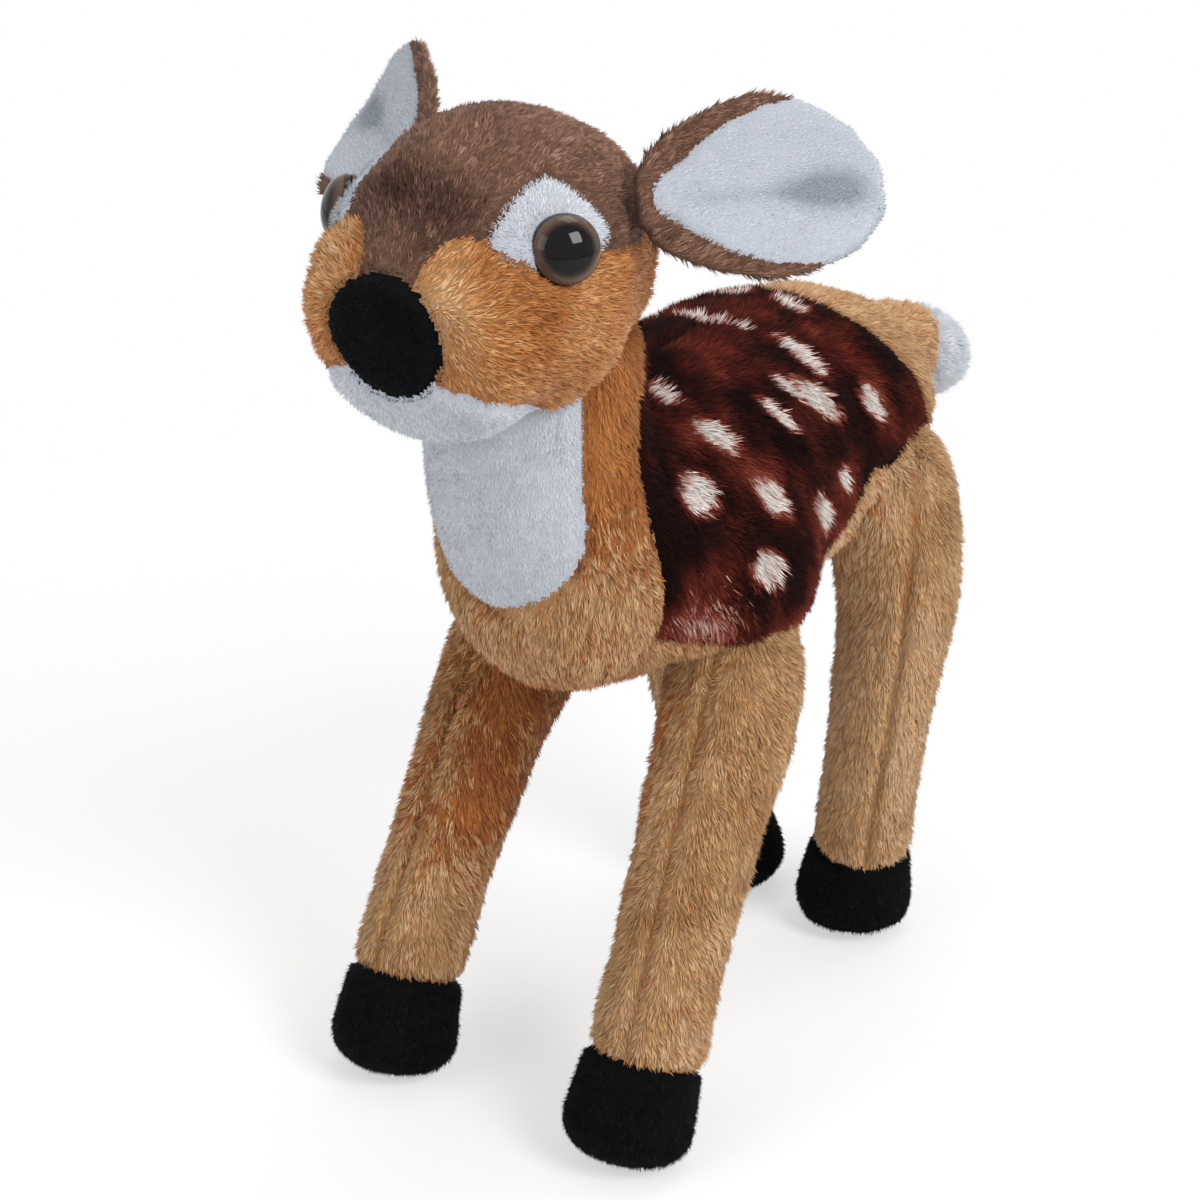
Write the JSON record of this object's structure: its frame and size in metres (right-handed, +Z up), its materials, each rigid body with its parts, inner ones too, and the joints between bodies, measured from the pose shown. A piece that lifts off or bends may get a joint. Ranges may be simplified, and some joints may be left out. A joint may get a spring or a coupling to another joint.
{
  "type": "plush deer toy",
  "caption": "Standing soft toy fawn: tan plush body with a spotted dark saddle, white bib, large cupped ears, domed plastic eyes and black plush hooves.",
  "frame": {"origin": "on the floor, below the middle of the toy's whole length and width", "axes": "-Y is forward, the way the nose points; +X is the toy's left; +Z is up"},
  "size_m": [0.1622, 0.2778, 0.2785],
  "materials": {
    "tan_plush": "knitted backing with a cut polyester pile about 3 mm long",
    "cheek_plush": "orange-tan cut polyester pile about 3 mm long",
    "crown_plush": "grey-brown cut polyester pile about 2 mm long",
    "saddle_plush": "dark red-brown cut polyester pile about 4 mm long, printed with pale spots",
    "white_plush": "white short-napped polyester",
    "black_plush": "black short-napped polyester",
    "fibre_filling": "loose polyester fibre filling",
    "eye_clear": "clear polished dome over a painted back",
    "eye_paint": "dark brown iris and black pupil, painted",
    "washer": "moulded, unpainted"
  },
  "bodies": {
    "torso": {"torso_stuffing": "fibre_filling", "saddle_left": "saddle_plush", "saddle_right": "saddle_plush", "chest_panel": "tan_plush", "throat_bib": "white_plush", "belly_panel": "tan_plush", "rump_panel": "tan_plush"},
    "head": {"head_stuffing": "fibre_filling", "crown_panel": "crown_plush", "jaw_panel": "white_plush", "nose_disc": "black_plush", "cheek_left": "cheek_plush", "eye_patch_left": "white_plush", "eye_dome_left": "eye_clear", "eye_back_left": "eye_paint", "eye_washer_left": "washer", "cheek_right": "cheek_plush", "eye_patch_right": "white_plush", "eye_dome_right": "eye_clear", "eye_back_right": "eye_paint", "eye_washer_right": "washer"},
    "ear_left": {"ear_back_left": "crown_plush", "ear_lining_left": "white_plush"},
    "ear_right": {"ear_back_right": "crown_plush", "ear_lining_right": "white_plush"},
    "leg_front_left": {"leg_front_left_stuffing": "fibre_filling", "leg_front_left_outer": "tan_plush", "leg_front_left_inner": "tan_plush", "hoof_front_left": "black_plush", "sole_front_left": "black_plush"},
    "leg_front_right": {"leg_front_right_stuffing": "fibre_filling", "leg_front_right_outer": "tan_plush", "leg_front_right_inner": "tan_plush", "hoof_front_right": "black_plush", "sole_front_right": "black_plush"},
    "leg_hind_left": {"leg_hind_left_stuffing": "fibre_filling", "leg_hind_left_outer": "tan_plush", "leg_hind_left_inner": "tan_plush", "hoof_hind_left": "black_plush", "sole_hind_left": "black_plush"},
    "leg_hind_right": {"leg_hind_right_stuffing": "fibre_filling", "leg_hind_right_outer": "tan_plush", "leg_hind_right_inner": "tan_plush", "hoof_hind_right": "black_plush", "sole_hind_right": "black_plush"},
    "tail": {"tail_stuffing": "fibre_filling", "tail_top": "tan_plush", "tail_underside": "white_plush"}
  },
  "joints": [
    {"name": "head_turn", "type": "hinge", "parent": "torso", "child": "head", "pos_m": [0, -0.07725, 0.214], "axis": [0, 0, 1], "range_deg": [-12, 12], "stiffness_Nm_per_rad": 1},
    {"name": "ear_left_flap", "type": "hinge", "parent": "head", "child": "ear_left", "pos_m": [0.0345, -0.08025, 0.254], "axis": [-0.3871, 0.4235, 0.8191], "range_deg": [-15, 15], "stiffness_Nm_per_rad": 0.1},
    {"name": "ear_right_flap", "type": "hinge", "parent": "head", "child": "ear_right", "pos_m": [-0.0345, -0.08025, 0.254], "axis": [0.3871, 0.4235, 0.8191], "range_deg": [-15, 15], "stiffness_Nm_per_rad": 0.1},
    {"name": "leg_front_left_swing", "type": "hinge", "parent": "torso", "child": "leg_front_left", "pos_m": [0.03, -0.02825, 0.13], "axis": [1, 0, 0], "range_deg": [-8, 8], "stiffness_Nm_per_rad": 3},
    {"name": "leg_front_right_swing", "type": "hinge", "parent": "torso", "child": "leg_front_right", "pos_m": [-0.03, -0.02825, 0.13], "axis": [1, 0, 0], "range_deg": [-8, 8], "stiffness_Nm_per_rad": 3},
    {"name": "leg_hind_left_swing", "type": "hinge", "parent": "torso", "child": "leg_hind_left", "pos_m": [0.031, 0.04875, 0.14], "axis": [1, 0, 0], "range_deg": [-8, 8], "stiffness_Nm_per_rad": 3},
    {"name": "leg_hind_right_swing", "type": "hinge", "parent": "torso", "child": "leg_hind_right", "pos_m": [-0.031, 0.04875, 0.14], "axis": [1, 0, 0], "range_deg": [-8, 8], "stiffness_Nm_per_rad": 3},
    {"name": "tail_wag", "type": "hinge", "parent": "torso", "child": "tail", "pos_m": [0, 0.08475, 0.172], "axis": [1, 0, 0], "range_deg": [-15, 15], "stiffness_Nm_per_rad": 0.2}
  ]
}
